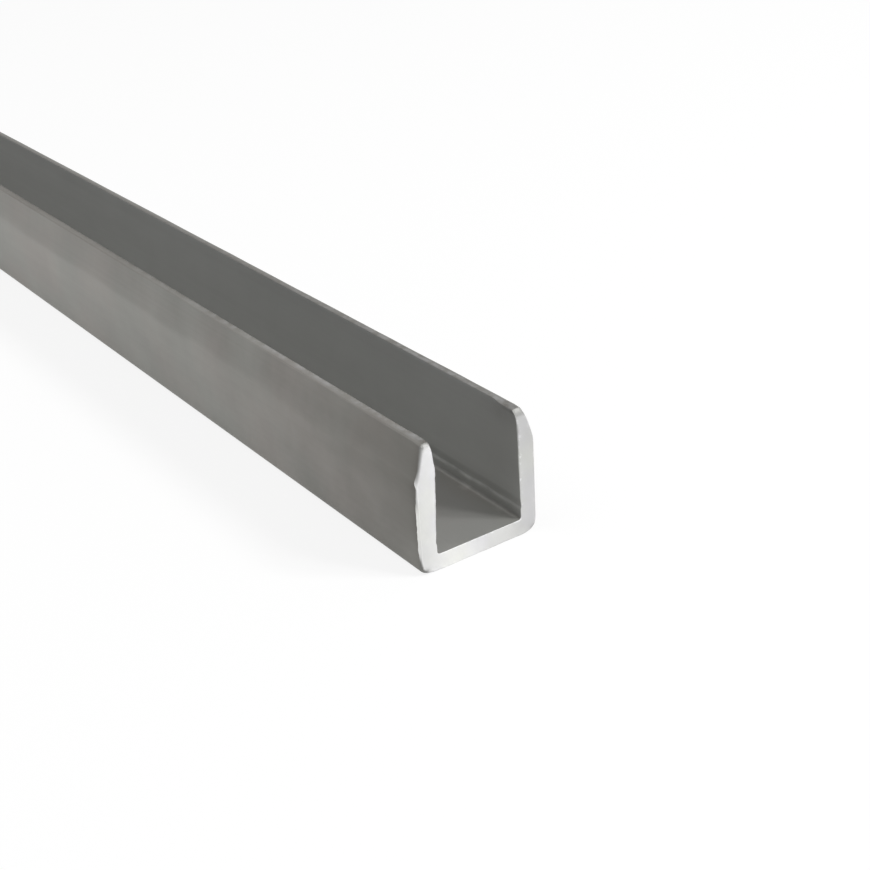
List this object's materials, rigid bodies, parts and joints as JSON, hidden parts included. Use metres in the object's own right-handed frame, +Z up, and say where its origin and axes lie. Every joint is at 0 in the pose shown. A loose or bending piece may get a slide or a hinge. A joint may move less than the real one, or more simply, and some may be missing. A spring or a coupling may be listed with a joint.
{
  "type": "metal channel section",
  "caption": "Extruded aluminium U channel bar with bevelled flange tips, sawn square at both ends; holds or caps the edge of a panel.",
  "frame": {"origin": "middle of the web's flat underside, halfway along the bar", "axes": "+X along the bar towards the cut end that the picture shows, +Y across the channel towards the far flange, +Z up out of the open side of the slot"},
  "size_m": [1, 0.015, 0.015],
  "materials": {
    "mill_aluminium": "mill finish, satin, with fine lines along the bar"
  },
  "bodies": {
    "root": {"channel_section": "mill_aluminium"}
  },
  "joints": []
}
